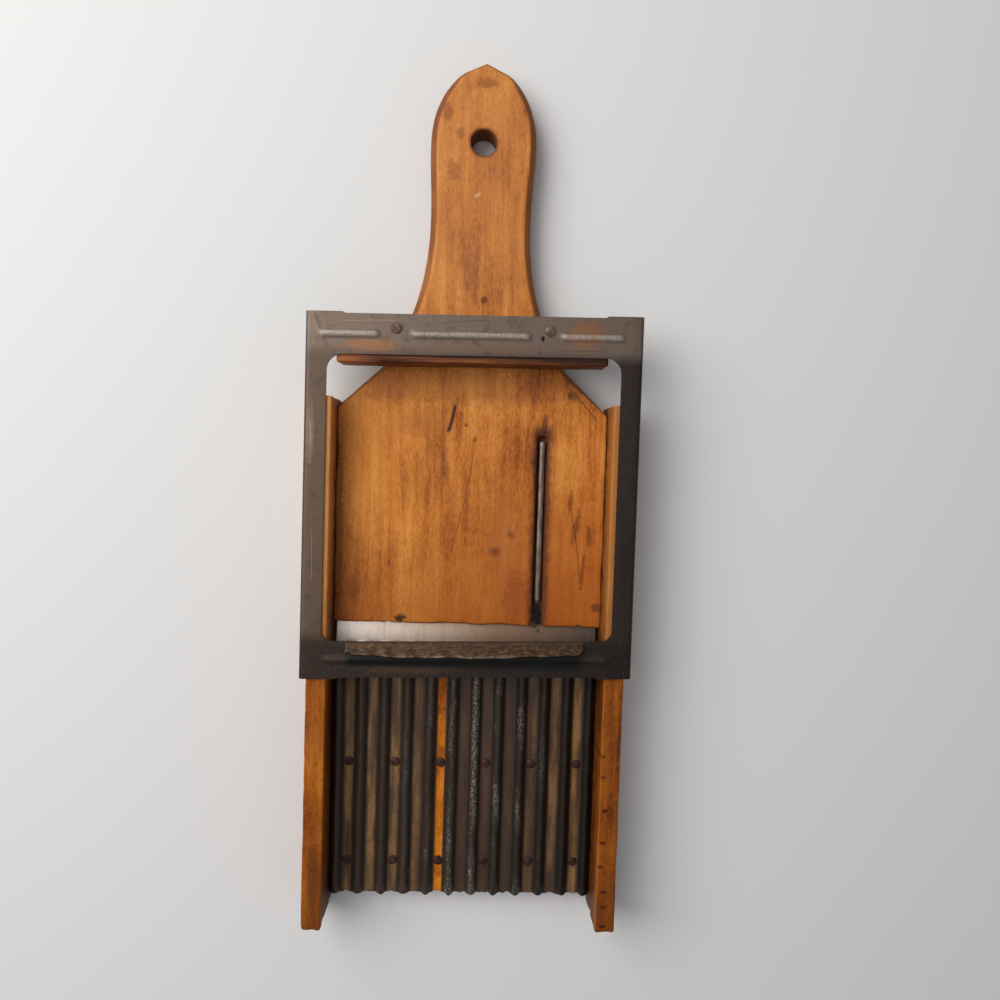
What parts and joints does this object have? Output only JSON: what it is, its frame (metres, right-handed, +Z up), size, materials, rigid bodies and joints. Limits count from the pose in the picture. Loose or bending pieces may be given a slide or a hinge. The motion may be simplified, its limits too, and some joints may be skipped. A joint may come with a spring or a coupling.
{
  "type": "crinkle cutter",
  "caption": "Wooden paddle cutter with a ridged tin bed, a rippled steel blade and a sheet-metal food carriage that slides along its side rails.",
  "frame": {"origin": "middle of the whole cutter's plan, at the resting face under the rails", "axes": "+Y along the rails to the tip of the handle, +Z up, +X across the rails"},
  "size_m": [0.1292, 0.343, 0.0301],
  "materials": {
    "board_wood": "worn varnish",
    "rail_wood": "worn varnish",
    "bed_wood": "bare",
    "cleat_wood": "stained",
    "blade_steel": "ground",
    "iron_rod": "dark",
    "iron_nail": "rusted",
    "frame_nail": "rusted",
    "ridged_tin": "worn and rusted tin",
    "frame_tin": "dark patina"
  },
  "bodies": {
    "base": {"handle_board": "board_wood", "board_rod": "iron_rod", "blade": "blade_steel", "blade_pins": "iron_nail", "left_rail": "rail_wood", "right_rail": "rail_wood", "left_rail_nails": "iron_nail", "right_rail_nails": "iron_nail", "bed_board": "bed_wood", "left_ridged_plate": "ridged_tin", "right_ridged_plate": "ridged_tin", "bed_nails": "iron_nail"},
    "carriage": {"carriage_frame": "frame_tin", "pusher_cleat": "cleat_wood", "pusher_nails": "frame_nail"}
  },
  "joints": [
    {"name": "carriage_slide", "type": "slide", "parent": "base", "child": "carriage", "axis": [0, -1, 0], "range_m": [0, 0.096]}
  ]
}
